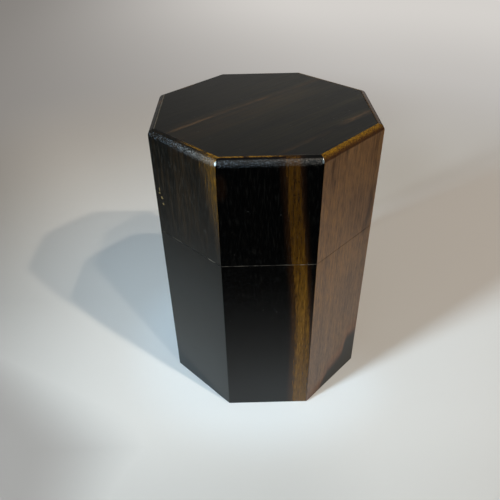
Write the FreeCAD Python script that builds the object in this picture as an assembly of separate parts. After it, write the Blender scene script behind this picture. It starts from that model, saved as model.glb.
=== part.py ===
import FreeCAD, Part
import math
import os

# An octagonal wooden tea caddy, glued up from mitred staves and sawn into a body and a lid, in millimetres.
# The origin is the middle of the foot, +Z is up, and -Y is the front face.

# Outer shell
across_flats = 80.0       # from one outer face to the opposite one
body_height = 75.5        # foot to seam
lid_height = 40.6         # seam to top
stave_thickness = 5.0     # the eight boards of the body, and of the lid above them
arris_radius = 0.4        # eased corner between two neighbouring staves
seam_ease = 0.14          # broken outer edge on each side of the seam
foot_ease = 0.3           # broken outer edge at the foot
lid_mouth_ease = 0.4      # broken inner edge at the lid's mouth

# Panels let into rebates in the stave ends
rim_radius = 2.2          # round-over along the lid's top edge
rim_land = 0.15           # flat stave end between the round-over and the top panel
top_thickness = 5.0       # top panel, flush with the stave ends
top_ease = 0.15           # broken upper edge of the top panel
base_rim = 2.4            # stave end left outside the base panel
base_thickness = 4.5      # base panel
base_recess = 0.6         # base panel set up from the foot, so that the staves carry the caddy

# Liner, glued inside the body and standing above the seam as the lip that the lid slides over
liner_thickness = 2.0
lip_height = 12.0         # above the seam
lip_clearance = 0.15      # between the lip and the inside of the lid
lip_ease = 0.5            # broken outer edge at the top of the lip
mouth_ease = 0.25         # broken inner edge at the top of the lip

# Inner lid, which drops into the lip
flange_thickness = 2.6    # rests on the lip
flange_inset = 0.3        # from the lip's outer face
flange_ease = 0.6         # broken upper edge of the flange
plug_depth = 5.0          # inside the lip
plug_clearance = 0.2      # between the plug and the liner
plug_ease = 0.5           # broken lower edge of the plug

# Knob, turned in one piece with its tenon
knob_height = 9.0         # above the inner lid
knob_head_radius = 6.4
knob_head_thickness = 4.4
knob_bead = 1.2           # bulge of the head's rounded edge
knob_crown = 1.0          # rise of the head's domed top
knob_foot_radius = 4.4
knob_foot_thickness = 1.2
knob_waist = 1.2          # depth of the cove between foot and head
tenon_radius = 2.5
tenon_length = 5.0
tenon_clearance = 0.05    # glue gap round the tenon
tenon_end_gap = 0.3       # between the tenon's end and the bottom of its hole

# The octagon
SIDE_NAMES = ("front", "front_right", "right", "back_right", "back", "back_left", "left", "front_left")
SIDE_ANGLE = 360.0 / len(SIDE_NAMES)
HALF_SIDE = math.radians(SIDE_ANGLE / 2)
UP = FreeCAD.Vector(0, 0, 1)
ORIGIN = FreeCAD.Vector(0, 0, 0)

# Places that several pieces share: an apothem is the distance from the axis to a flat
outer_apothem = across_flats / 2
inner_apothem = outer_apothem - stave_thickness
liner_apothem = inner_apothem - liner_thickness
lip_apothem = inner_apothem - lip_clearance
top_apothem = outer_apothem - rim_radius - rim_land
base_apothem = outer_apothem - base_rim
seam_z = body_height
top_z = seam_z + lid_height
ceiling_z = top_z - top_thickness
floor_z = base_recess + base_thickness
lip_z = seam_z + lip_height
knob_seat_z = lip_z + flange_thickness


def wall_point(apothem, z):
    """A point of the front wall's section, in the plane through the axis and the middle of the front face."""
    return FreeCAD.Vector(0, -apothem, z)


def line(start, end):
    return Part.LineSegment(start, end).toShape()


def arc(start, middle, end):
    return Part.Arc(start, middle, end).toShape()


def lines_through(points):
    return [line(a, b) for a, b in zip(points, points[1:])]


def face_inside(edges):
    return Part.Face(Part.Wire(Part.__sortEdges__(edges)))


def octagonal_board(apothem, low_z, high_z):
    """A board between two heights, with one of its eight sides at the front."""
    reach = apothem / math.cos(HALF_SIDE)
    angles = [math.radians(SIDE_ANGLE * (n + 0.5)) - math.pi / 2 for n in range(len(SIDE_NAMES))]
    corners = [FreeCAD.Vector(reach * math.cos(a), reach * math.sin(a), low_z) for a in angles]
    return face_inside(lines_through([*corners, corners[0]])).extrude(UP * (high_z - low_z))


def upright_edges(board):
    return [e for e in board.Edges if abs(e.Vertexes[0].Z - e.Vertexes[-1].Z) > 1e-6]


def edges_at(board, z):
    return [e for e in board.Edges if all(abs(v.Z - z) < 1e-6 for v in e.Vertexes)]


def eased_blank():
    """The block that all outer staves lie in: its upright corners eased, then its top edge rounded over."""
    block = octagonal_board(outer_apothem, 0, top_z)
    eased = block.makeFillet(arris_radius, upright_edges(block))
    return eased.makeFillet(rim_radius, edges_at(eased, top_z))


def mitred(section_points):
    """A front stave: the wall's section run along the front face and cut at the two mitres."""
    section = face_inside(lines_through(section_points))
    box = section.BoundBox
    far = across_flats
    half_width = far * math.tan(HALF_SIDE)
    section.translate(FreeCAD.Vector(-half_width, 0, 0))
    moulding = section.extrude(FreeCAD.Vector(2 * half_width, 0, 0))
    wedge_plan = [
        FreeCAD.Vector(0, 0, box.ZMin),
        FreeCAD.Vector(-half_width, -far, box.ZMin),
        FreeCAD.Vector(half_width, -far, box.ZMin),
        FreeCAD.Vector(0, 0, box.ZMin),
    ]
    wedge = face_inside(lines_through(wedge_plan)).extrude(UP * (box.ZMax - box.ZMin))
    return moulding.common(wedge)


def round_the_octagon(stave, prefix):
    """Eight copies of a front stave, each named for the side it stands on."""
    pieces = {}
    for number, side in enumerate(SIDE_NAMES):
        piece = stave.Solids[0].copy()
        piece.rotate(ORIGIN, UP, number * SIDE_ANGLE)
        pieces[f"{prefix}_{side}"] = piece
    return pieces


def body_staves():
    section = [
        wall_point(inner_apothem, seam_z),
        wall_point(outer_apothem - seam_ease, seam_z),
        wall_point(outer_apothem, seam_z - seam_ease),
        wall_point(outer_apothem, foot_ease),
        wall_point(outer_apothem - foot_ease, 0),
        wall_point(base_apothem, 0),
        wall_point(base_apothem, floor_z),
        wall_point(inner_apothem, floor_z),
        wall_point(inner_apothem, seam_z),
    ]
    return round_the_octagon(mitred(section).common(eased_blank()), "body_stave")


def lid_staves():
    section = [
        wall_point(outer_apothem, top_z),
        wall_point(top_apothem, top_z),
        wall_point(top_apothem, ceiling_z),
        wall_point(inner_apothem, ceiling_z),
        wall_point(inner_apothem, seam_z + lid_mouth_ease),
        wall_point(inner_apothem + lid_mouth_ease, seam_z),
        wall_point(outer_apothem - seam_ease, seam_z),
        wall_point(outer_apothem, seam_z + seam_ease),
        wall_point(outer_apothem, top_z),
    ]
    return round_the_octagon(mitred(section).common(eased_blank()), "lid_stave")


def liner_staves():
    section = [
        wall_point(liner_apothem, floor_z),
        wall_point(inner_apothem, floor_z),
        wall_point(inner_apothem, seam_z),
        wall_point(lip_apothem, seam_z),
        wall_point(lip_apothem, lip_z - lip_ease),
        wall_point(lip_apothem - lip_ease, lip_z),
        wall_point(liner_apothem + mouth_ease, lip_z),
        wall_point(liner_apothem, lip_z - mouth_ease),
        wall_point(liner_apothem, floor_z),
    ]
    return round_the_octagon(mitred(section), "liner_stave")


def top_panel():
    board = octagonal_board(top_apothem, ceiling_z, top_z)
    return board.makeChamfer(top_ease, edges_at(board, top_z))


def base_panel():
    return octagonal_board(base_apothem, base_recess, floor_z)


def inner_lid():
    flange = octagonal_board(lip_apothem - flange_inset, lip_z, knob_seat_z)
    flange = flange.makeChamfer(flange_ease, edges_at(flange, knob_seat_z))
    plug_z = lip_z - plug_depth
    plug = octagonal_board(liner_apothem - plug_clearance, plug_z, lip_z)
    plug = plug.makeChamfer(plug_ease, edges_at(plug, plug_z))
    hole_z = knob_seat_z - tenon_length - tenon_end_gap
    hole = Part.makeCylinder(tenon_radius + tenon_clearance, knob_seat_z - hole_z, UP * hole_z)
    return flange.fuse(plug).cut(hole).removeSplitter().Solids[0]


def inner_lid_knob():
    """Turned about the axis from its profile: tenon, foot, coved waist, beaded head and domed top."""

    def profile_point(radius, height):
        return FreeCAD.Vector(radius, 0, knob_seat_z + height)

    head_low = knob_height - knob_head_thickness
    head_high = knob_height - knob_crown
    bead_root = knob_head_radius - knob_bead
    dome_radius = (bead_root**2 + knob_crown**2) / (2 * knob_crown)
    dome_half = bead_root / 2
    dome_half_drop = dome_radius - math.sqrt(dome_radius**2 - dome_half**2)
    cove_low = profile_point(knob_foot_radius, knob_foot_thickness)
    cove_middle = profile_point(knob_foot_radius - knob_waist, (knob_foot_thickness + head_low) / 2)
    cove_high = profile_point(knob_foot_radius, head_low)
    bead_low = profile_point(bead_root, head_low)
    bead_middle = profile_point(knob_head_radius, (head_low + head_high) / 2)
    bead_high = profile_point(bead_root, head_high)
    crown = profile_point(0, knob_height)
    tenon_end = profile_point(0, -tenon_length)
    profile = [
        line(crown, tenon_end),
        *lines_through([
            tenon_end,
            profile_point(tenon_radius, -tenon_length),
            profile_point(tenon_radius, 0),
            profile_point(knob_foot_radius, 0),
            cove_low,
        ]),
        arc(cove_low, cove_middle, cove_high),
        line(cove_high, bead_low),
        arc(bead_low, bead_middle, bead_high),
        arc(bead_high, profile_point(dome_half, knob_height - dome_half_drop), crown),
    ]
    return face_inside(profile).revolve(ORIGIN, UP, 360).Solids[0]


def main():
    pieces = {
        **body_staves(),
        "base_panel": base_panel(),
        **liner_staves(),
        **lid_staves(),
        "top_panel": top_panel(),
        "inner_lid": inner_lid(),
        "inner_lid_knob": inner_lid_knob(),
    }
    os.makedirs("parts", exist_ok=True)
    for name, shape in pieces.items():
        shape.exportStep(f"parts/{name}.step")
        print(f"{name}: valid {shape.isValid()}, {len(shape.Solids)} solid, {shape.Volume:.1f} mm3")


main()
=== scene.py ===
import math
from types import SimpleNamespace

import bpy
from mathutils import Matrix, Vector


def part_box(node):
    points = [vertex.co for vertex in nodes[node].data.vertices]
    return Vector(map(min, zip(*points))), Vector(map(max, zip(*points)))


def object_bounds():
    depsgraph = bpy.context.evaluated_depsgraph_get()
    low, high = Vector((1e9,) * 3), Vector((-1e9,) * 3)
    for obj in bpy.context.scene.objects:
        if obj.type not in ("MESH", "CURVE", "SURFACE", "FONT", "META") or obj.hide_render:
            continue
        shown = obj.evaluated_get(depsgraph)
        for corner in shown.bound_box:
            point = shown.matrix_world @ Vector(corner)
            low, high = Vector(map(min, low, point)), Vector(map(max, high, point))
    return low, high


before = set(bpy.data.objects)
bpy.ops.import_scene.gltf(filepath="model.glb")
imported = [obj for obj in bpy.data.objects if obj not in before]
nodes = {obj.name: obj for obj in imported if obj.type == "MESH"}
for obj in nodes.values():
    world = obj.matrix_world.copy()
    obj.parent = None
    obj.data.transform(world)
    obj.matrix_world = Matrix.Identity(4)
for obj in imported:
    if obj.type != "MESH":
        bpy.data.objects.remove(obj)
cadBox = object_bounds()
mm = 1000                                      # in a metre
print("frame loaded:", len(nodes), "wooden pieces")


# A node socket that takes part in Python arithmetic

class Value:
    def __init__(self, tree, socket=None):
        self.tree = tree
        self.socket = socket

    def node(self, kind, settings=None, inputs=None, output=0):
        made = self.tree.nodes.new(kind)
        for name, setting in (settings or {}).items():
            if name == "stops":
                setStops(made.color_ramp, setting)
            else:
                setattr(made, name, setting)
        for key, value in (inputs or {}).items():
            if isinstance(value, Value):
                self.tree.links.new(value.socket, made.inputs[key])
            else:
                made.inputs[key].default_value = value
        return Value(self.tree, None if output is None else made.outputs[output])

    def maths(self, operation, *others):
        return self.node("ShaderNodeMath", {"operation": operation}, dict(enumerate((self, *others))))

    def __add__(self, other):
        return self.maths("ADD", other)

    def __sub__(self, other):
        return self.maths("SUBTRACT", other)

    def __rsub__(self, other):
        return self.node("ShaderNodeMath", {"operation": "SUBTRACT"}, {0: other, 1: self})

    def __mul__(self, other):
        return self.maths("MULTIPLY", other)

    def __truediv__(self, other):
        return self.maths("DIVIDE", other)

    def __rtruediv__(self, other):
        return self.node("ShaderNodeMath", {"operation": "DIVIDE"}, {0: other, 1: self})

    def __neg__(self):
        return self.maths("MULTIPLY", -1.0)

    def __abs__(self):
        return self.maths("ABSOLUTE")

    __radd__ = __add__
    __rmul__ = __mul__


def setStops(ramp, stops):
    while len(ramp.elements) < len(stops):
        ramp.elements.new(1.0)
    for element, (place, colour) in zip(ramp.elements, stops):
        element.position = place
        element.color = colour


def paint(red, green, blue):                   # from a picture's 0 to 255, by the sRGB curve
    parts = [c / 255 for c in (red, green, blue)]
    return [c / 12.92 if c < 0.04045 else ((c + 0.055) / 1.055) ** 2.4 for c in parts] + [1.0]


def smooth(value, low, high):                  # 0 below low, 1 above high
    return value.node("ShaderNodeMapRange", {"interpolation_type": "SMOOTHSTEP"},
                      {"Value": value, "From Min": low, "From Max": high})


def slide(value, low, high, start, end):       # from start at low to end at high
    return smooth(value, low, high) * (end - start) + start


def rising(value, low, high):                  # straight from 0 at low to 1 at high
    return value.node("ShaderNodeMapRange", {}, {"Value": value, "From Min": low, "From Max": high})


def between(value, low, high, soft):           # 1 from low to high, with soft ends
    return smooth(value, low - soft, low + soft) * (1 - smooth(value, high - soft, high + soft))


def larger(one, other):
    return one.maths("MAXIMUM", other)


def mixColours(factor, one, other):            # a Mix node takes colours in at 6 and 7, and gives one at 2
    return factor.node("ShaderNodeMix", {"data_type": "RGBA"}, {0: factor, 6: one, 7: other}, 2)


def axisOf(place, axis):
    return place.node("ShaderNodeSeparateXYZ", {}, {0: place}, axis)


def newMaterial(name):
    material = bpy.data.materials.new(name)
    material.use_nodes = True
    material.node_tree.nodes.clear()
    return material, Value(material.node_tree)


# What all the woods share

def woodPlace(start, turn=0.0, shift=(0, 0, 0)):           # in mm, turned about the caddy's axis
    place = start.node("ShaderNodeTexCoord", output="Object")
    return start.node("ShaderNodeMapping", {}, {
        "Vector": place, "Rotation": (0, 0, turn), "Scale": (mm, mm, mm), "Location": shift})


def grain(place, seed, stretch, detail=2.0, rough=0.5):    # noise about 0
    moved = place.node("ShaderNodeVectorMath", {"operation": "MULTIPLY_ADD"},
                       {0: place, 1: stretch, 2: seed})
    noise = place.node("ShaderNodeTexNoise", {}, {
        "Vector": moved, "Scale": 1.0, "Detail": detail, "Roughness": rough})
    return noise - 0.5


def roundSpots(place, scale, size):
    return 1 - smooth(place.node("ShaderNodeTexVoronoi", {}, {"Vector": place, "Scale": scale}), *size)


def dusted(place, colour, dust):
    return mixColours(roundSpots(place, dust["scale"], dust["size"]) * dust["level"], colour, dust["hue"])


def finishWood(start, colour, roughness, height, look, coat=None):
    normal = start.node("ShaderNodeBump", {}, {
        "Strength": look["bump"], "Distance": look["poreDepth"], "Height": height})
    surface = {
        "Base Color": colour, "Roughness": roughness, "Normal": normal,
        "IOR": look["ior"], "Specular IOR Level": look["specular"]}
    if coat:
        surface["Coat Weight"] = coat
        surface["Coat Roughness"] = look["coatRough"]
    shader = start.node("ShaderNodeBsdfPrincipled", {}, surface)
    start.node("ShaderNodeOutputMaterial", {}, {"Surface": shader}, None)


# The eight staves: black heartwood with golden streaks, one board for each side, body and lid together

staveLook = {
    "outside": cadBox[1].y * mm,               # from the axis to a face
    "top": cadBox[1].z * mm,
    "seam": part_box("lid_stave_front")[0].z * mm,
    "black": paint(1, 1, 1),
    "umber": paint(32, 16, 4),
    "brown": paint(61, 37, 3),
    "gold": paint(94, 63, 15),
    "pale": paint(138, 99, 30),
    "ramp": ("black", "umber", "brown", "gold", "pale"),   # tones from 0 to 1
    "rust": paint(104, 52, 18),
    "paleEdgeHue": paint(150, 138, 120),              # pale: painted highlight on the seam's edge and the rim's inner edge, and rubbed bare wood at the seam
    "glint": paint(202, 216, 219),              # painted glint: a bright spot for the window's and lamps' reflection at a corner of the rim
    "gilt": paint(128, 108, 70),               # small bare dot
    "grains": {                                # stretched by so much a mm across, in depth and up
        "sway": {"stretch": (0.10, 0.10, 0.025)},
        "fray": {"stretch": (1.6, 1.6, 0.045), "detail": 3.0, "rough": 0.6},
        "lines": {"stretch": (1.0, 1.0, 0.010), "detail": 3.0},
        "dashes": {"stretch": (2.4, 2.4, 0.24), "detail": 3.0, "rough": 0.65},
        "ducts": {"stretch": (2.4, 2.4, 0.30), "detail": 1.0},
        "fibres": {"stretch": (2.8, 2.8, 0.12), "rough": 0.6},
        "strokes": {"stretch": (1.2, 1.2, 0.07), "rough": 0.6},
        "pores": {"stretch": (1.6, 1.6, 1.6), "rough": 0.65},
        "flecks": {"stretch": (2.3, 2.3, 2.3), "detail": 1.0, "rough": 0.7},
        "drops": {"stretch": (1.6, 1.6, 0.25), "rough": 0.6},
        "coreBreaks": {"stretch": (0.22, 0, 0)},
        "wearBreaks": {"stretch": (0.25, 0, 0), "detail": 3.0},
    },
    "seedSteps": (31.7, 17.3, 53.1),           # from one board's grain to the next one's
    "looseGrains": ("flecks", "drops"),        # these don't follow the other grains
    "sway": 1.4,                               # mm that the figure wanders
    "fray": 1.7,                               # mm that the fibres fray its edges
    "ragged": 2.2,                             # mm that short dashes break them up
    "lines": 0.03,
    "mottle": {"lines": 0.7, "dashes": 1.2, "rim": 0.8},
    "streakRise": (50.0, 100.0),               # heights of a streak's lower tone and its higher one
    "bendSoft": 12.0,                          # mm over which a streak begins to lean
    "footRise": (10.0, 70.0),
    "ovalEdge": (0.2, 1.4),
    "spots": {"scale": 1.2, "size": (0.18, 0.32)},
    "core": {"sway": 0.5, "breaks": (-0.16, 0.0), "soft": 3.0},
    "vessel": {"hue": paint(7, 5, 3), "edge": (0.10, 0.18), "level": 0.32},
    "rain": {"hue": paint(48, 46, 42), "edge": (0.02, 0.18)},          # faint pale dashes on the black
    "dust": {"hue": paint(118, 116, 110), "level": 0.18, "scale": 0.30, "size": (0.03, 0.07)},
    "seamShade": {"band": (-0.14, 0.14), "soft": 0.04, "level": 0.55},     # mm from the seam; painted shade in its gap
    # edge below the seam painted pale: rubbed wood and a painted highlight on its chamfer
    "wearAndHighlight": {"band": (-0.16, -0.01), "soft": 0.03, "depth": (0.14, 0.24), "breaks": (-0.10, 0.12),
             "ends": 1.0},
    "jointHighlight": {"from": (1.9, 2.2), "to": (2.4, 2.5)},                   # painted highlight along the rim's inner edge, at these depths
    "rim": {"height": (-4.0, -2.0), "depth": (0.02, 0.5)},             # heights from the top
    "shoulder": {"height": (-3.0, -1.8), "ragged": 1.4, "depth": (0.6, 1.15)},
    "arris": {"across": (-0.9, -0.4), "polish": 0.25},                 # corner of the rim, rubbed smooth
    # painted highlight on the rim: bright specks, cool towards the left end and warmer to the right
    "speckledHighlight": {"left": paint(138, 152, 166), "right": paint(152, 142, 130), "from": -10.0,
                "edge": (-0.02, 0.12)},
    "rough": 0.23,
    "roughSpread": 0.04,
    "rimRough": (0.10, 0.10),                  # more on the rim's end grain, from its left end to its right
    "sheen": (0.12, 0.12),                     # coat on the rim, from its left end to its right
    "sheenMottle": 3.0,
    "coatRough": 0.6,
    "bump": 0.5,
    "relief": {"fibres": 0.072, "vessels": 0.024, "pores": 2.0},
    "poreDepth": 0.00012,
    "ior": 1.5,
    "specular": 0.5,
}

# u runs across a face from its middle, z up from the foot, both in mm; tone is 0 black to 1 pale gold
staveFigures = {
    "front": {
        "tone": 0.0,
        "streaks": [{"edges": (10.0, 16.9), "lean": (-0.085, -0.085), "bend": (52, 30), "soft": 0.7,
                     "tone": 0.64, "high": 0.41},
                    {"edges": (8.7, 17.7), "lean": (-0.085, -0.085), "bend": (52, 30), "soft": 1.4,
                     "tone": 0.36, "high": 0.15}],
        "contrast": 1.25,
        "patches": [{"at": (-15.4, 106.5), "size": (2.0, 5.0), "tone": 0.07}],
        "specks": [{"at": (9.0, 105.0), "size": (2.2, 4.5), "tone": 0.3}],
        "core": {"depth": 1.6, "soft": 0.2, "tones": (1.0, 0.7), "from": -30.0, "to": 5.0},
        "sheen": (0.12, 0.10),
        "speckledHighlight": {"levels": (0.22, 0.16), "spread": (-0.015, -0.015)},
        "marks": [{"at": (-16.5, 114.8), "size": (0.35, 0.7), "level": 0.8, "hue": "glint"},
                  {"at": (16.2, 115.0), "size": (0.35, 0.9), "level": 0.20, "hue": "glint"}],
        "finish": {"specular": 0.47},
        "rain": 0.11,
        "vessels": 0.45,
        "wearAndHighlight": [{"from": -17.0, "to": 17.0, "level": 0.16}, {"from": 8.0, "to": 13.0, "level": 0.5}],
    },
    "front_right": {
        "tone": 0.77,
        "hues": {"brown": paint(70, 46, 25), "gold": paint(109, 80, 52), "pale": paint(134, 98, 56)},
        "foot": 0.90,
        "contrast": 1.2,
        "vessels": 0.34,
        "rough": 0.40,
        "darks": [{"at": (13.6, 86.0), "size": (2.4, 8.0), "tone": 0.18},
                  {"at": (12.2, 77.0), "size": (2.0, 4.5), "tone": 0.18},
                  {"at": (-14.0, 112.0), "size": (4.0, 12.0), "tone": 0.06},
                  {"at": (4.5, 88.0), "size": (6.0, 13.0), "tone": 0.12},
                  {"at": (4.0, 50.0), "size": (6.0, 16.0), "tone": 0.08},
                  {"at": (-10.0, 72.0), "size": (7.0, 34.0), "tone": -0.06}],
        "corner": {"steps": [(-10.5, -2.0, 8.5), (-4.0, 8.0, 3.5), (6.6, 10.4, 8.5)], "soft": 3.0,
                   "sway": 7.0, "fray": 5.0, "rust": {"band": (-0.5, 6.5), "soft": 3.0, "level": 0.35}},
        "edge": {"gold": paint(149, 104, 0), "dark": paint(54, 25, 1), "lines": 0.5,
                 "mottle": (-0.24, 0.16), "level": 0.9, "polish": 0.24,
                 "foot": {"from": (0.01, 0.06), "to": (0.20, 1.40), "ragged": 0.5, "level": 0.85}},
    },
    "right": {
        "tone": 0.50,
        "darks": [{"at": (7.0, 40.0), "size": (5.0, 60.0), "tone": 0.40}],
    },
    "back_right": {
        "tone": 0.62,
        "darks": [{"at": (-6.0, 50.0), "size": (3.0, 70.0), "tone": 0.45}],
    },
    "back": {
        "tone": 0.0,
        "streaks": [{"edges": (-10.5, -5.6), "lean": (0.03, 0.05), "bend": (30, 30), "soft": 1.1,
                     "tone": 0.66, "high": 0.46},
                    {"edges": (8.0, 10.0), "lean": (-0.02, -0.02), "bend": (40, 40), "soft": 0.9,
                     "tone": 0.35, "high": 0.30}],
    },
    "back_left": {
        "tone": 0.05,
        "streaks": [{"edges": (1.0, 9.0), "lean": (-0.03, -0.01), "bend": (40, 40), "soft": 2.2,
                     "tone": 0.42, "high": 0.52}],
    },
    "left": {
        "tone": 0.0,
        "streaks": [{"edges": (-13.5, -10.5), "lean": (0.05, 0.06), "bend": (50, 50), "soft": 1.0,
                     "tone": 0.42, "high": 0.36}],
        "jointHighlight": 0.35,
    },
    "front_left": {
        "tone": 0.0,
        "hues": {"black": paint(8, 8, 6), "umber": paint(42, 30, 17), "brown": paint(66, 46, 16)},
        # painted reflection of the bluish floor, lower down on the face
        "coolReflection": {"hue": paint(4, 12, 13), "from": 95.0, "to": 45.0},
        "streaks": [{"edges": (-3.2, -1.0), "soft": 2.0, "tone": 0.0, "high": 0.15},
                    {"edges": (0.2, 2.6), "soft": 2.0, "tone": 0.0, "high": 0.11},
                    {"edges": (-5.0, 8.0), "soft": 4.0, "tone": 0.0, "high": 0.04}],
        "wedge": {"low": 72.0, "lean": 0.24, "width": 8.8, "tone": 0.66,
                  "fray": 2.0, "ragged": 3.0, "mottle": 1.6},
        "core": {"depth": 1.4, "soft": 0.4, "tones": (0.2, 0.95), "from": -1.0, "to": 30.0},
        "lines": 0.45,
        "strokes": 0.55,
        "sheen": (0.02, 0.30),
        "speckledHighlight": {"levels": (0.28, 0.40), "spread": (-0.075, 0.02)},
        "rimRough": (-0.16, 0.10),
        "marks": [{"at": (16.5, 114.8), "size": (0.5, 0.8), "level": 0.95, "hue": "glint"},
                  {"at": (-14.0, 94.3), "size": (0.30, 0.75), "level": 0.55, "hue": "gilt"},
                  {"at": (-14.2, 92.7), "size": (0.45, 0.40), "level": 0.55, "hue": "gilt"},
                  {"at": (-13.1, 91.1), "size": (0.55, 0.60), "level": 0.75, "hue": "gilt"},
                  {"at": (-12.7, 88.6), "size": (0.50, 0.50), "level": 0.65, "hue": "gilt"}],
        "finish": {"specular": 0.39},
        "rain": 0.36,
        "vessels": 0.45,
        "wearAndHighlight": [{"from": -17.0, "to": -4.0, "level": 0.2}, {"from": 8.0, "to": 13.0, "level": 0.45}],
    },
}
halfSide = staveLook["outside"] * math.tan(math.pi / len(staveFigures))


def readBoard(start, number):                  # a stave turned to the front: u across, depth inwards, z up
    look = staveLook
    place = woodPlace(start, -number * math.tau / len(staveFigures), (0, look["outside"], 0))
    board = SimpleNamespace(place=place)
    board.u, board.depth, board.z = [axisOf(place, axis) for axis in range(3)]
    seed = [number * step for step in look["seedSteps"]]
    for name, shape in look["grains"].items():
        shift = seed[::-1] if name in look["looseGrains"] else seed
        setattr(board, name, grain(place, shift, **shape))
    board.vessels = smooth(board.ducts, *look["vessel"]["edge"])
    board.swayed = board.u + board.sway * look["sway"]
    board.swayed = board.swayed + board.fray * look["fray"] + board.dashes * look["ragged"]
    fromTop = board.z - look["top"]
    shoulder = look["shoulder"]
    board.onRim = smooth(fromTop, *look["rim"]["height"])
    board.rim = smooth(board.depth, *look["rim"]["depth"]) * board.onRim
    board.shoulder = smooth(fromTop + board.pores * shoulder["ragged"], *shoulder["height"])
    board.shoulder = board.shoulder * (1 - smooth(board.depth, *shoulder["depth"]))
    board.arris = smooth(abs(board.u) - halfSide, *look["arris"]["across"]) * board.onRim
    return board


def leftToRight(board, left, right):           # from the stave's left edge to its right one
    return slide(board.u, -halfSide, halfSide, left, right)


def oval(u, z, mark):                          # 1 in the middle of a soft oval mark
    across = (u - mark["at"][0]) / mark["size"][0]
    along = (z - mark["at"][1]) / mark["size"][1]
    return 1 - smooth(across * across + along * along, *staveLook["ovalEdge"])


def streakMask(board, streak):                 # between two edges, which may lean above their bends
    edges = []
    for edge, lean, bend in zip(streak["edges"], streak.get("lean", (0, 0)), streak.get("bend", (0, 0))):
        climb = (board.z - bend).maths("SMOOTH_MAX", 0.0, staveLook["bendSoft"])
        edges.append(board.swayed - climb * lean - edge)
    left, right = [smooth(edge, -streak["soft"], streak["soft"]) for edge in edges]
    return left * (1 - right)


def wedgeTone(board, wedge):                   # gold that comes in from the right edge and widens upwards
    inside = board.swayed + board.fray * wedge["fray"] + board.dashes * wedge["ragged"]
    inside = inside - halfSide + (board.z - wedge["low"]) * wedge["lean"]
    mottle = board.fray * wedge["mottle"] + board.dashes + 1
    return rising(inside, 0.0, wedge["width"]) * mottle * wedge["tone"]


def cornerRise(board, corner):                 # height above the heartwood in the lower right corner
    over = board.z + board.sway * corner["sway"] + board.fray * corner["fray"]
    for low, high, rise in corner["steps"]:
        over = over - smooth(board.u, low, high) * rise
    return over


def coreTone(board, core):                     # pale wood that the rounded rim cuts into
    look = staveLook["core"]
    inside = board.depth + board.sway * look["sway"] - core["depth"]
    mask = smooth(inside, -core["soft"], core["soft"]) * smooth(board.coreBreaks, *look["breaks"])
    mask = mask * between(board.swayed, core["from"], core["to"], look["soft"])
    return mask * leftToRight(board, *core["tones"])


def boardTone(board, figure):
    look = staveLook
    tone = board.lines * figure.get("lines", look["lines"]) + figure["tone"]
    if "foot" in figure:                       # darker towards the foot
        tone = tone * slide(board.z, *look["footRise"], figure["foot"], 1.0)
    for streak in figure.get("streaks", []):
        level = slide(board.z, *look["streakRise"], streak["tone"], streak["high"])
        tone = larger(tone, streakMask(board, streak) * level)
    for patch in figure.get("patches", []):    # faint brown
        tone = larger(tone, oval(board.swayed, board.z, patch) * patch["tone"])
    if "wedge" in figure:
        tone = larger(tone, wedgeTone(board, figure["wedge"]))
    if "strokes" in figure:                    # fibres that show in the black
        tone = tone + board.strokes * figure["strokes"]
    for speck in figure.get("specks", []):     # small dark spots
        spots = roundSpots(board.place, **look["spots"])
        tone = tone - oval(board.u, board.z, speck) * spots * speck["tone"]
    for dark in figure.get("darks", []):       # a tone below 0 makes a lighter patch
        tone = tone - oval(board.swayed, board.z, dark) * dark["tone"]
    if "corner" in figure:
        soft = figure["corner"]["soft"]
        tone = tone * smooth(cornerRise(board, figure["corner"]), -soft, soft)
    if "core" in figure:
        tone = larger(tone, coreTone(board, figure["core"]))
    mottle = look["mottle"]
    contrast = board.rim * mottle["rim"] + figure.get("contrast", 1.0)
    return tone * ((board.lines * mottle["lines"] + board.dashes * mottle["dashes"]) * contrast + 1)


def edgeColour(board, edge, colour):           # rich gold on the rounded rim, darker towards its foot
    mottle = smooth(board.dashes + board.lines * edge["lines"], *edge["mottle"])
    colour = mixColours(board.rim * edge["level"], colour, mixColours(mottle, edge["dark"], edge["gold"]))
    foot = edge["foot"]
    low = 1 - smooth(board.depth + board.dashes * foot["ragged"], *foot["to"])
    low = low * smooth(board.depth, *foot["from"]) * board.onRim
    return mixColours(low * foot["level"], colour, edge["dark"])


def seamColour(board, figure, colour):         # painted shade in the seam's gap, and the edge below it painted pale, as rubbed wood and a painted highlight
    look = staveLook
    fromSeam = board.z - look["seam"]
    seamShade = look["seamShade"]
    dark = between(fromSeam, *seamShade["band"], seamShade["soft"]) * seamShade["level"]
    colour = mixColours(dark, colour, look["vessel"]["hue"])
    if "wearAndHighlight" in figure:
        wearAndHighlight = look["wearAndHighlight"]
        paleEdge = between(fromSeam, *wearAndHighlight["band"], wearAndHighlight["soft"]) * (1 - smooth(board.depth, *wearAndHighlight["depth"]))
        paleEdge = paleEdge * smooth(board.wearBreaks, *wearAndHighlight["breaks"])
        for stretch in figure["wearAndHighlight"]:
            here = between(board.u, stretch["from"], stretch["to"], wearAndHighlight["ends"]) * stretch["level"]
            colour = mixColours(paleEdge * here, colour, look["paleEdgeHue"])
    return colour


def speckledHighlightColour(board, speckledHighlight, colour):      # painted highlight: bright specks on the rim's lower curve, standing in for a reflection broken up by the end grain
    look = staveLook["speckledHighlight"]
    highlightSpecks = smooth(board.flecks + leftToRight(board, *speckledHighlight["spread"]), *look["edge"])
    highlightSpecks = highlightSpecks * board.shoulder * (1 - board.arris) * leftToRight(board, *speckledHighlight["levels"])
    hue = mixColours(smooth(board.u, look["from"], halfSide), look["left"], look["right"])
    return mixColours(highlightSpecks, colour, hue)


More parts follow.
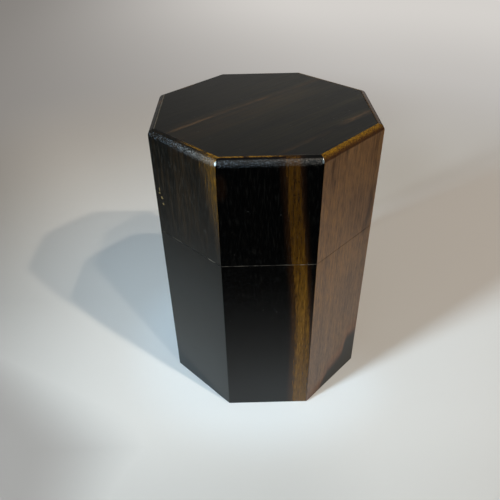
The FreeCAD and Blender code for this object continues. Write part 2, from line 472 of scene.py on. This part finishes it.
def boardColour(board, figure):
    look = staveLook
    tone = boardTone(board, figure)
    hues = {**look, **figure.get("hues", {})}
    stops = [(n / (len(look["ramp"]) - 1), hues[hue]) for n, hue in enumerate(look["ramp"])]
    colour = tone.node("ShaderNodeValToRGB", {"stops": stops}, {0: tone})
    if "corner" in figure:
        rust = figure["corner"]["rust"]
        border = between(cornerRise(board, figure["corner"]), *rust["band"], rust["soft"])
        colour = mixColours(border * rust["level"], colour, look["rust"])
    if "edge" in figure:
        colour = edgeColour(board, figure["edge"], colour)
    if "coolReflection" in figure:                       # painted reflection: a cool tint lower down, for the bluish floor that the face mirrors
        coolReflection = figure["coolReflection"]
        colour = mixColours(1 - smooth(board.z, coolReflection["to"], coolReflection["from"]), colour, coolReflection["hue"])
    if "rain" in figure:
        rain = smooth(board.drops, *look["rain"]["edge"])
        colour = mixColours(rain * figure["rain"], colour, look["rain"]["hue"])
    vessel = look["vessel"]
    colour = mixColours(board.vessels * figure.get("vessels", vessel["level"]), colour, vessel["hue"])
    colour = seamColour(board, figure, colour)
    if "jointHighlight" in figure:                      # painted highlight along the inner edge of the rim
        jointHighlight = look["jointHighlight"]
        paleEdge = smooth(board.depth, *jointHighlight["from"]) * (1 - smooth(board.depth, *jointHighlight["to"]))
        colour = mixColours(paleEdge * figure["jointHighlight"], colour, look["paleEdgeHue"])
    if "speckledHighlight" in figure:
        colour = speckledHighlightColour(board, figure["speckledHighlight"], colour)
    # painted glints at the rim's corners, and small bare gilt dots
    for mark in figure.get("marks", []):
        colour = mixColours(oval(board.u, board.z, mark) * mark["level"], colour, look[mark["hue"]])
    return dusted(board.place, colour, look["dust"])


def boardRoughness(board, figure):
    look = staveLook
    roughness = figure.get("rough", look["rough"]) + board.dashes * look["roughSpread"]
    roughness = roughness + board.shoulder * leftToRight(board, *figure.get("rimRough", look["rimRough"]))
    roughness = roughness - board.arris * look["arris"]["polish"]
    if "edge" in figure:
        roughness = roughness - board.rim * figure["edge"]["polish"]
    return roughness


def staveWood(side, number):
    look = staveLook
    figure = staveFigures[side]
    material, start = newMaterial(f"stave_{side}")
    board = readBoard(start, number)
    relief = look["relief"]
    height = (board.fibres * relief["fibres"] - board.vessels * relief["vessels"]) * (1 - board.rim)
    height = height + board.pores * board.shoulder * (1 - board.arris) * relief["pores"]
    sheen = leftToRight(board, *figure.get("sheen", look["sheen"]))
    sheen = sheen * (board.pores * look["sheenMottle"] + 1)
    finishWood(start, boardColour(board, figure), boardRoughness(board, figure), height,
               {**look, **figure.get("finish", {})}, board.shoulder * sheen)
    return material


for number, side in enumerate(staveFigures):
    wood = staveWood(side, number)
    for piece in ("body_stave", "lid_stave"):
        nodes[f"{piece}_{side}"].data.materials[0] = wood
print("stave wood made:", len(staveFigures), "boards")


# The top and base panels: black straight-grained boards, laid with the grain at a slant

panelLook = {
    "slant": math.radians(41),
    "black": paint(4, 4, 1),
    "brown": paint(36, 31, 16),
    "amber": paint(126, 92, 58),
    "grains": {                                # stretched by so much a mm along the grain and across it
        "broad": {"stretch": (0.012, 0.10, 0.10)},
        "lines": {"stretch": (0.015, 0.8, 0.8), "detail": 4.0, "rough": 0.6},
        "fine": {"stretch": (0.02, 1.7, 1.7), "detail": 3.0, "rough": 0.6},
        "dashes": {"stretch": (0.14, 2.2, 2.2), "rough": 0.6},
        "ducts": {"stretch": (0.25, 2.2, 2.2), "detail": 1.0},
    },
    "sway": {"broad": 1.2, "lines": 1.8, "dashes": 1.6},   # mm that each moves a streak's edges
    "tone": {"lines": 0.4, "fine": 0.4, "broad": 0.2},
    "toneEdge": (-0.05, 0.10),
    "darkEnd": {"from": -38.0, "to": 26.0, "level": 0.30},
    "streakEnds": 5.0,                         # mm over which a streak fades out
    "streakBreaks": (-0.14, 0.10),
    "vessel": {"hue": paint(7, 5, 3), "edge": (0.12, 0.22), "level": 0.5},
    "dust": {"hue": paint(118, 116, 110), "level": 0.25, "scale": 0.25, "size": (0.04, 0.08)},
    "rough": 0.40,
    "roughSpread": 0.12,
    "relief": {"dashes": 0.4, "vessels": 0.5},
    "bump": 0.15,
    "poreDepth": 0.0001,
    "ior": 1.5,
    "specular": 0.5,
}

# s runs along the grain and t across it, in mm
panelFigures = {
    "top_panel": {
        "seed": (3.0, 8.0, 1.0),
        "streaks": [{"at": 7.2, "half": 0.8, "soft": 1.2, "from": -37.0, "to": -20.0, "tone": 0.30},
                    {"at": 6.8, "half": 0.3, "soft": 0.4, "from": -30.0, "to": -16.0, "tone": 0.24},
                    {"at": 7.4, "half": 0.6, "soft": 0.9, "from": -20.0, "to": 8.0, "tone": 0.30},
                    {"at": 7.4, "half": 0.7, "soft": 1.2, "from": 4.0, "to": 38.0, "tone": 0.19},
                    {"at": 9.4, "half": 0.4, "soft": 0.5, "from": -32.0, "to": 6.0, "tone": 0.10},
                    {"at": 4.6, "half": 0.5, "soft": 0.7, "from": -20.0, "to": 24.0, "tone": 0.12},
                    {"at": 0.5, "half": 4.0, "soft": 3.5, "from": -42.0, "to": 26.0, "tone": 0.06},
                    {"at": -28.0, "half": 0.9, "soft": 1.1, "from": 10.0, "to": 30.0, "tone": 0.36},
                    {"at": -29.6, "half": 0.8, "soft": 0.8, "from": -20.0, "to": 2.0, "tone": 0.14}],
    },
    "base_panel": {
        "seed": (40.0, 25.0, 6.0),
        "streaks": [{"at": -4.0, "half": 1.2, "soft": 0.9, "from": -20.0, "to": 30.0, "tone": 0.4}],
    },
}


def panelWood(name):
    look = panelLook
    figure = panelFigures[name]
    material, start = newMaterial(f"{name}_wood")
    place = woodPlace(start, -look["slant"])
    s, t = [axisOf(place, axis) for axis in (0, 1)]
    grains = {kind: grain(place, figure["seed"], **shape) for kind, shape in look["grains"].items()}
    tone = smooth(sum(grains[kind] * share for kind, share in look["tone"].items()), *look["toneEdge"])
    end = look["darkEnd"]
    tone = tone * slide(s, end["from"], end["to"], end["level"], 1.0)
    colour = mixColours(tone, look["black"], look["brown"])
    swayed = t + sum(grains[kind] * reach for kind, reach in look["sway"].items())
    breaks = smooth(grains["dashes"], *look["streakBreaks"])
    for streak in figure["streaks"]:
        mask = between(swayed - streak["at"], -streak["half"], streak["half"], streak["soft"])
        mask = mask * between(s, streak["from"], streak["to"], look["streakEnds"]) * breaks
        colour = mixColours(mask * streak["tone"], colour, look["amber"])
    vessel = look["vessel"]
    vessels = smooth(grains["ducts"], *vessel["edge"])
    colour = mixColours(vessels * vessel["level"], colour, vessel["hue"])
    colour = dusted(place, colour, look["dust"])
    roughness = look["rough"] + grains["dashes"] * look["roughSpread"]
    height = grains["dashes"] * look["relief"]["dashes"] - vessels * look["relief"]["vessels"]
    finishWood(start, colour, roughness, height, look)
    return material


for name in panelFigures:
    nodes[name].data.materials[0] = panelWood(name)
print("panels made:", len(panelFigures))


# The liner, the inner lid and its knob, hidden until the caddy is opened

linerLook = {
    "dark": paint(112, 66, 38),
    "light": paint(160, 104, 64),
    "stretch": (1.1, 1.1, 0.03),
    "seed": (5, 9, 2),
    "grains": {                                # how many times as fine as the stretch says
        "fibres": {"times": 1.0, "detail": 4.0, "rough": 0.6},
        "fine": {"times": 4.5, "detail": 2.0, "rough": 0.6},
        "ducts": {"times": 3.2, "detail": 1.0, "rough": 0.5},
    },
    "tone": {"fibres": 0.7, "fine": 0.3, "edge": (-0.20, 0.20)},
    "pore": {"edge": (0.12, 0.24), "level": 0.35},
    "rough": 0.54,
    "roughSpread": 0.12,
    "relief": {"pores": 0.4, "fine": 0.2},
    "bump": 0.12,
    "poreDepth": 0.0001,
    "ior": 1.48,
    "specular": 0.4,
}
innerLidLook = {**linerLook, "stretch": (0.03, 1.0, 1.0), "seed": (7, 1, 4)}
knobLook = {**linerLook, "stretch": (0.9, 0.9, 0.05), "seed": (2, 6, 8), "rough": 0.32,
            "dark": staveLook["black"], "light": staveLook["umber"]}


def linerWood(name, look):
    material, start = newMaterial(name)
    place = woodPlace(start)
    grains = []
    for shape in look["grains"].values():
        stretch = [part * shape["times"] for part in look["stretch"]]
        grains.append(grain(place, look["seed"], stretch, shape["detail"], shape["rough"]))
    fibres, fine, ducts = grains
    pores = smooth(ducts, *look["pore"]["edge"])
    tone = look["tone"]
    shade = smooth(fibres * tone["fibres"] + fine * tone["fine"], *tone["edge"])
    colour = mixColours(shade, look["dark"], look["light"])
    colour = mixColours(pores * look["pore"]["level"], colour, look["dark"])
    height = fine * look["relief"]["fine"] - pores * look["relief"]["pores"]
    finishWood(start, colour, look["rough"] + fine * look["roughSpread"], height, look)
    return material


liner = linerWood("liner_wood_grain", linerLook)
for side in staveFigures:
    nodes[f"liner_stave_{side}"].data.materials[0] = liner
nodes["inner_lid"].data.materials[0] = linerWood("inner_lid_grain", innerLidLook)
nodes["inner_lid_knob"].data.materials[0] = linerWood("knob_grain", knobLook)
print("liner, inner lid and knob made")


# Three far lamps at the right, a window at the left, and a dim room

warm = (1.0, 0.885, 0.73)
aim = (0, 0, 0.05)
lamps = {                                      # each shines at its aim, from a direction and so many m away
    "low_lamp": {"from": (90, -73, 116), "away": 2.5, "size": (0.07, 0.07), "power": 13.4,
                 "colour": warm, "spread": math.pi, "aim": aim},
    "high_lamp": {"from": (60, -47, 116), "away": 2.5, "size": (0.07, 0.07), "power": 9.0,
                  "colour": warm, "spread": math.pi, "aim": aim},
    "front_lamp": {"from": (53, -75, 116), "away": 2.5, "size": (0.08, 0.08), "power": 6.7,
                   "colour": warm, "spread": math.pi, "aim": aim},
    "window": {"from": (-0.780, -0.500, 0.375), "away": 0.95, "size": (0.16, 0.36), "power": 0.45,
               "colour": (0.68, 0.865, 0.99), "spread": math.radians(30), "aim": (0.0, -0.01, 0.05)},
}
for name, lamp in lamps.items():
    data = bpy.data.lights.new(name, "AREA")
    data.shape = "ELLIPSE"
    data.size, data.size_y = lamp["size"]
    data.energy = lamp["power"]
    data.color = lamp["colour"]
    data.spread = lamp["spread"]
    light = bpy.data.objects.new(name, data)
    bpy.context.scene.collection.objects.link(light)
    towards = Vector(lamp["from"]).normalized()
    light.location = Vector(lamp["aim"]) + towards * lamp["away"]
    light.rotation_euler = towards.to_track_quat("Z", "Y").to_euler()

roomLook = {
    "dim": (0.11, 0.107, 0.103, 1.0),
    "bright": (0.36, 0.41, 0.44, 1.0),         # low down at the front left
    "from": (-0.50, -0.86, 0.0),
    "side": (0.10, 0.90),
    "top": (0.60, 0.95),
}


def roomLight():
    world = bpy.data.worlds.new("room")
    bpy.context.scene.world = world
    world.use_nodes = True
    world.node_tree.nodes.clear()
    start = Value(world.node_tree)
    towards = start.node("ShaderNodeTexCoord", output="Generated")
    side = start.node("ShaderNodeVectorMath", {"operation": "DOT_PRODUCT"},
                      {0: towards, 1: roomLook["from"]}, "Value")
    bright = smooth(side, *roomLook["side"]) * (1 - smooth(axisOf(towards, 2), *roomLook["top"]))
    colour = mixColours(bright, roomLook["dim"], roomLook["bright"])
    background = start.node("ShaderNodeBackground", {}, {"Color": colour, "Strength": 1.0})
    start.node("ShaderNodeOutputWorld", {}, {"Surface": background}, None)


roomLight()
print("stage lit by", len(lamps), "lamps")


# The stage: round sheets and low rings about the caddy

stageLook = {
    "reach": 1.3,                              # m from the caddy to the backdrop
    "height": 0.48,                            # m, the backdrop's
    "sides": 96,
}


def newSheet(name, height):
    bpy.ops.object.select_all(action="DESELECT")
    bpy.ops.mesh.primitive_circle_add(
        vertices=stageLook["sides"], radius=stageLook["reach"], fill_type="NGON", location=(0, 0, height))
    return stagePiece(name)


def newRing(name, inset):
    bpy.ops.object.select_all(action="DESELECT")
    bpy.ops.mesh.primitive_cylinder_add(
        vertices=stageLook["sides"], radius=stageLook["reach"] - inset, depth=stageLook["height"],
        end_fill_type="NOTHING", location=(0, 0, stageLook["height"] / 2))
    return stagePiece(name)


def stagePiece(name):
    piece = bpy.context.object
    bpy.ops.object.transform_apply(location=True, rotation=True, scale=True)
    piece.name = name
    material, start = newMaterial(name)
    piece.data.materials.append(material)
    place = start.node("ShaderNodeTexCoord", output="Object")
    return piece, start, axisOf(place, 0), axisOf(place, 1)


def fromAxis(x, y):
    return (x * x + y * y).maths("SQRT")


def mixShaders(start, factor, one, other):
    shader = start.node("ShaderNodeMixShader", {}, {0: factor, 1: one, 2: other})
    start.node("ShaderNodeOutputMaterial", {}, {"Surface": shader}, None)


# The backdrop, which only the camera and the gloss see, and which lights nothing

backdropLook = {
    "dim": (0.235, 0.22, 0.205, 1.0),          # at the left
    "light": (0.50, 0.48, 0.458, 1.0),         # at the right
    "farLight": (0.66, 0.635, 0.605, 1.0),
    "far": (0.30, 0.75),                       # m from the caddy, between which the light grows
    "side": (-0.29, 0.25),                     # m across, from dim to light
    "turn": 0.19,                              # how much the back counts with the right
}


def backdropLight(start, x, y):
    look = backdropLook
    light = mixColours(smooth(fromAxis(x, y), *look["far"]), look["light"], look["farLight"])
    colour = mixColours(smooth(x + y * look["turn"], *look["side"]), look["dim"], light)
    return start.node("ShaderNodeBsdfPrincipled", {}, {
        "Base Color": (0, 0, 0, 1), "Specular IOR Level": 0.0,
        "Emission Color": colour, "Emission Strength": 1.0})


def seenRays(start):                           # camera, glossy and transmission rays
    names = ("Is Camera Ray", "Is Glossy Ray", "Is Transmission Ray")
    camera, glossy, through = [start.node("ShaderNodeLightPath", output=name) for name in names]
    return larger(larger(camera, glossy), through)


def paperBackdrop():                           # a low wall all round
    start, x, y = newRing("backdrop", 0.0)[1:]
    through = start.node("ShaderNodeBsdfTransparent")
    mixShaders(start, seenRays(start), through, backdropLight(start, x, y))


# The paper floor, which becomes the backdrop's colour further out

floorLook = {
    "pale": (0.82, 0.80, 0.78, 1.0),
    "warm": {"side": (0.05, 0.14), "hue": (0.81, 0.775, 0.75, 1.0)},
    "glow": {"hue": (0.88, 0.895, 0.905, 1.0), "out": (0.046, 0.075), "side": (0.0, 0.05)},
    "dusk": (0.42, 0.41, 0.40, 1.0),
    "duskLeft": {"side": (0.05, 0.19), "behind": 0.03, "turn": 0.5},
    "duskFront": {"side": (0.045, 0.085), "level": 0.32, "right": (0.0, 0.05), "rightLevel": 0.10},
    "duskCorner": {"side": (0.095, 0.147), "front": -0.060, "turn": 0.9, "hue": (0.44, 0.41, 0.395, 1.0)},
    "duskBack": {"across": (0.034, 0.060), "side": (0.02, 0.08), "levels": (0.80, 0.52),
                 "right": (0.10, 0.17), "far": (0.065, 0.14), "farLevel": 0.65,
                 "hue": (0.50, 0.43, 0.365, 1.0)},
    "fade": (0.20, 0.42),                      # m, between which the paper becomes the backdrop's colour
}


def nearPaper(x, y):                           # painted light on the paper: warm at the right, a painted pool of cool bright light close to the caddy
    look = floorLook
    colour = mixColours(smooth(x, *look["warm"]["side"]), look["pale"], look["warm"]["hue"])
    glow = look["glow"]
    near = (1 - smooth(fromAxis(x, y), *glow["out"])) * (1 - smooth(x + y, *glow["side"]))
    return mixColours(near, colour, glow["hue"])


def darkerLeft(x, y, colour):                  # painted shade on the paper: the left, the front and the corner between them
    look = floorLook
    left = look["duskLeft"]
    dusk = smooth(-x - larger(y - left["behind"], 0.0) * left["turn"], *left["side"])
    front = look["duskFront"]
    frontLevel = slide(x, *front["right"], front["level"], front["rightLevel"])
    dusk = larger(dusk, smooth(-y, *front["side"]) * frontLevel)
    corner = look["duskCorner"]
    cornerDusk = smooth(x * -corner["turn"] - larger(y, corner["front"]), *corner["side"])
    hue = mixColours(cornerDusk, look["dusk"], corner["hue"])
    return mixColours(larger(dusk, cornerDusk), colour, hue)


def darkerBack(x, y, colour):                  # painted shade on the paper past the line on which the window's light passes the caddy
    back = floorLook["duskBack"]
    window = Vector(lamps["window"]["from"]).to_2d().normalized()
    across = x * window.y - y * window.x
    dusk = smooth(across, *back["across"]) * smooth(x, *back["side"])
    dusk = dusk * slide(x, *back["right"], *back["levels"])
    dusk = dusk * slide(across, *back["far"], 1.0, back["farLevel"])
    return mixColours(dusk, colour, back["hue"])


def paperFloor():
    start, x, y = newSheet("floor", 0.0)[1:]
    colour = darkerBack(x, y, darkerLeft(x, y, nearPaper(x, y)))
    paper = start.node("ShaderNodeBsdfPrincipled", {}, {
        "Base Color": colour, "Roughness": 1.0, "Specular IOR Level": 0.0})
    far = smooth(fromAxis(x, y), *floorLook["fade"])
    mixShaders(start, far * seenRays(start), paper, backdropLight(start, x, y))


# Black flags, which only the gloss sees: away from the caddy the room is dark

flagLook = {
    "lift": 0.0004,                            # m above the floor
    "inset": 0.02,                             # m inside the backdrop
    "front": (0.027, 0.124),                   # m out, between which the flag closes
    "left": (-0.085, 0.39),
    "right": (0.05, 0.27),
    "back": (0.06, 0.25),
    "wall": (0.35, 0.80),                      # m to the right, for the upright one
}


def finishFlag(flag, start, clear):
    dark = start.node("ShaderNodeBsdfDiffuse", {}, {"Color": (0, 0, 0, 1)})
    through = start.node("ShaderNodeBsdfTransparent")
    mixShaders(start, clear, dark, through)
    flag.visible_camera = False
    flag.visible_diffuse = False
    flag.visible_shadow = False


def blackFlags():
    flag, start, x, y = newSheet("flag", flagLook["lift"])
    clear = (1 - smooth(-y, *flagLook["front"])) * (1 - smooth(y, *flagLook["back"]))
    clear = clear * (1 - smooth(-x, *flagLook["left"])) * (1 - smooth(x, *flagLook["right"]))
    finishFlag(flag, start, clear)
    wall, start, x, y = newRing("flag_wall", flagLook["inset"])
    finishFlag(wall, start, 1 - smooth(x, *flagLook["wall"]))


paperFloor()
paperBackdrop()
blackFlags()
print("floor, backdrop and flags made")


# The photograph's camera

shot = {
    "place": (-0.00766, -0.18177, 0.18832),
    "turn": math.radians(-0.473),
    "down": math.radians(36.772),
    "roll": math.radians(-1.106),
    "lens": 37.744,
    "sensor": 36.0,
    "nearest": 0.01,                           # m from which it sees
}
camera = bpy.data.objects.new("camera", bpy.data.cameras.new("camera"))
bpy.context.scene.collection.objects.link(camera)
camera.data.lens = shot["lens"]
camera.data.sensor_width = shot["sensor"]
camera.data.clip_start = shot["nearest"]
camera.matrix_world = (
    Matrix.Translation(shot["place"])
    @ Matrix.Rotation(shot["turn"], 4, "Z")
    @ Matrix.Rotation(math.pi / 2 - shot["down"], 4, "X")
    @ Matrix.Rotation(shot["roll"], 4, "Z")
)
bpy.context.scene.camera = camera
bpy.context.scene.view_settings.view_transform = "Standard"
print("camera set")
